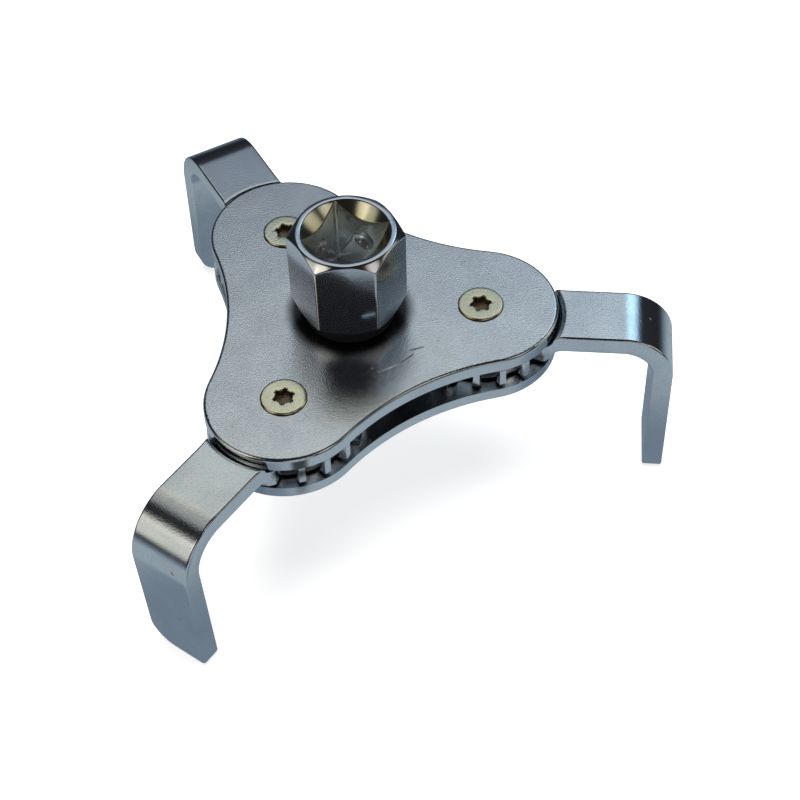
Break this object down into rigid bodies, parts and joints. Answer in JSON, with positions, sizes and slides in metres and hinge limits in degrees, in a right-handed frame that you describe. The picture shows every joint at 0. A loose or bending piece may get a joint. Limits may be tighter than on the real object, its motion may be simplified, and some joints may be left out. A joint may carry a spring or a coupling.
{
  "type": "oil filter wrench",
  "caption": "Geared oil filter wrench: hexagon drive with a square socket on a three-lobed plate stack, and toothed jaw arms with bent legs that swing in together.",
  "frame": {"origin": "on the drive axis, in the plane of the jaw tips, which the tool stands on", "axes": "+Z along the drive axis towards the square socket; +X from the drive axis towards the first jaw's pivot"},
  "size_m": [0.1125, 0.1233, 0.0649],
  "materials": {
    "zinc_plate": "satin zinc plating with a fine pebbled grain",
    "zinc_arm": "satin zinc plating, brighter and smoother at the bends",
    "dark_chrome": "polished dark chrome",
    "gear_steel": "oiled steel",
    "pale_gold": "pale gold passivated zinc",
    "washer_steel": "plain steel"
  },
  "bodies": {
    "plates": {"top_plate": "zinc_plate", "bottom_plate": "zinc_plate", "pivot_post_1": "gear_steel", "pivot_post_2": "gear_steel", "pivot_post_3": "gear_steel", "pivot_screw_1": "pale_gold", "pivot_screw_2": "pale_gold", "pivot_screw_3": "pale_gold", "upper_washer_1": "washer_steel", "upper_washer_2": "washer_steel", "upper_washer_3": "washer_steel", "lower_washer_1": "washer_steel", "lower_washer_2": "washer_steel", "lower_washer_3": "washer_steel"},
    "drive": {"drive_socket": "dark_chrome", "center_gear": "gear_steel", "drive_washer": "washer_steel", "drive_circlip": "gear_steel"},
    "jaw_1": {"jaw_arm_1": "zinc_arm"},
    "jaw_2": {"jaw_arm_2": "zinc_arm"},
    "jaw_3": {"jaw_arm_3": "zinc_arm"}
  },
  "joints": [
    {"name": "drive_spin", "type": "hinge", "parent": "plates", "child": "drive", "pos_m": [0, 0, 0.04205], "axis": [0, 0, 1], "range_deg": [-82.7, 70.1]},
    {"name": "jaw_swing_1", "type": "hinge", "parent": "plates", "child": "jaw_1", "pos_m": [0.02722, 0, 0.03635], "axis": [0, 0, 1], "range_deg": [-59.7, 72.3]},
    {"name": "jaw_swing_2", "type": "hinge", "parent": "plates", "child": "jaw_2", "pos_m": [-0.01361, 0.02358, 0.03635], "axis": [0, 0, 1], "range_deg": [-63.05, 68.95]},
    {"name": "jaw_swing_3", "type": "hinge", "parent": "plates", "child": "jaw_3", "pos_m": [-0.01361, -0.02358, 0.03635], "axis": [0, 0, 1], "range_deg": [-58.45, 73.55]}
  ],
  "couplings": [
    {"joint": "jaw_swing_1", "follows": "drive_spin", "ratio": -0.83333},
    {"joint": "jaw_swing_2", "follows": "drive_spin", "ratio": -0.83333},
    {"joint": "jaw_swing_3", "follows": "drive_spin", "ratio": -0.83333}
  ]
}
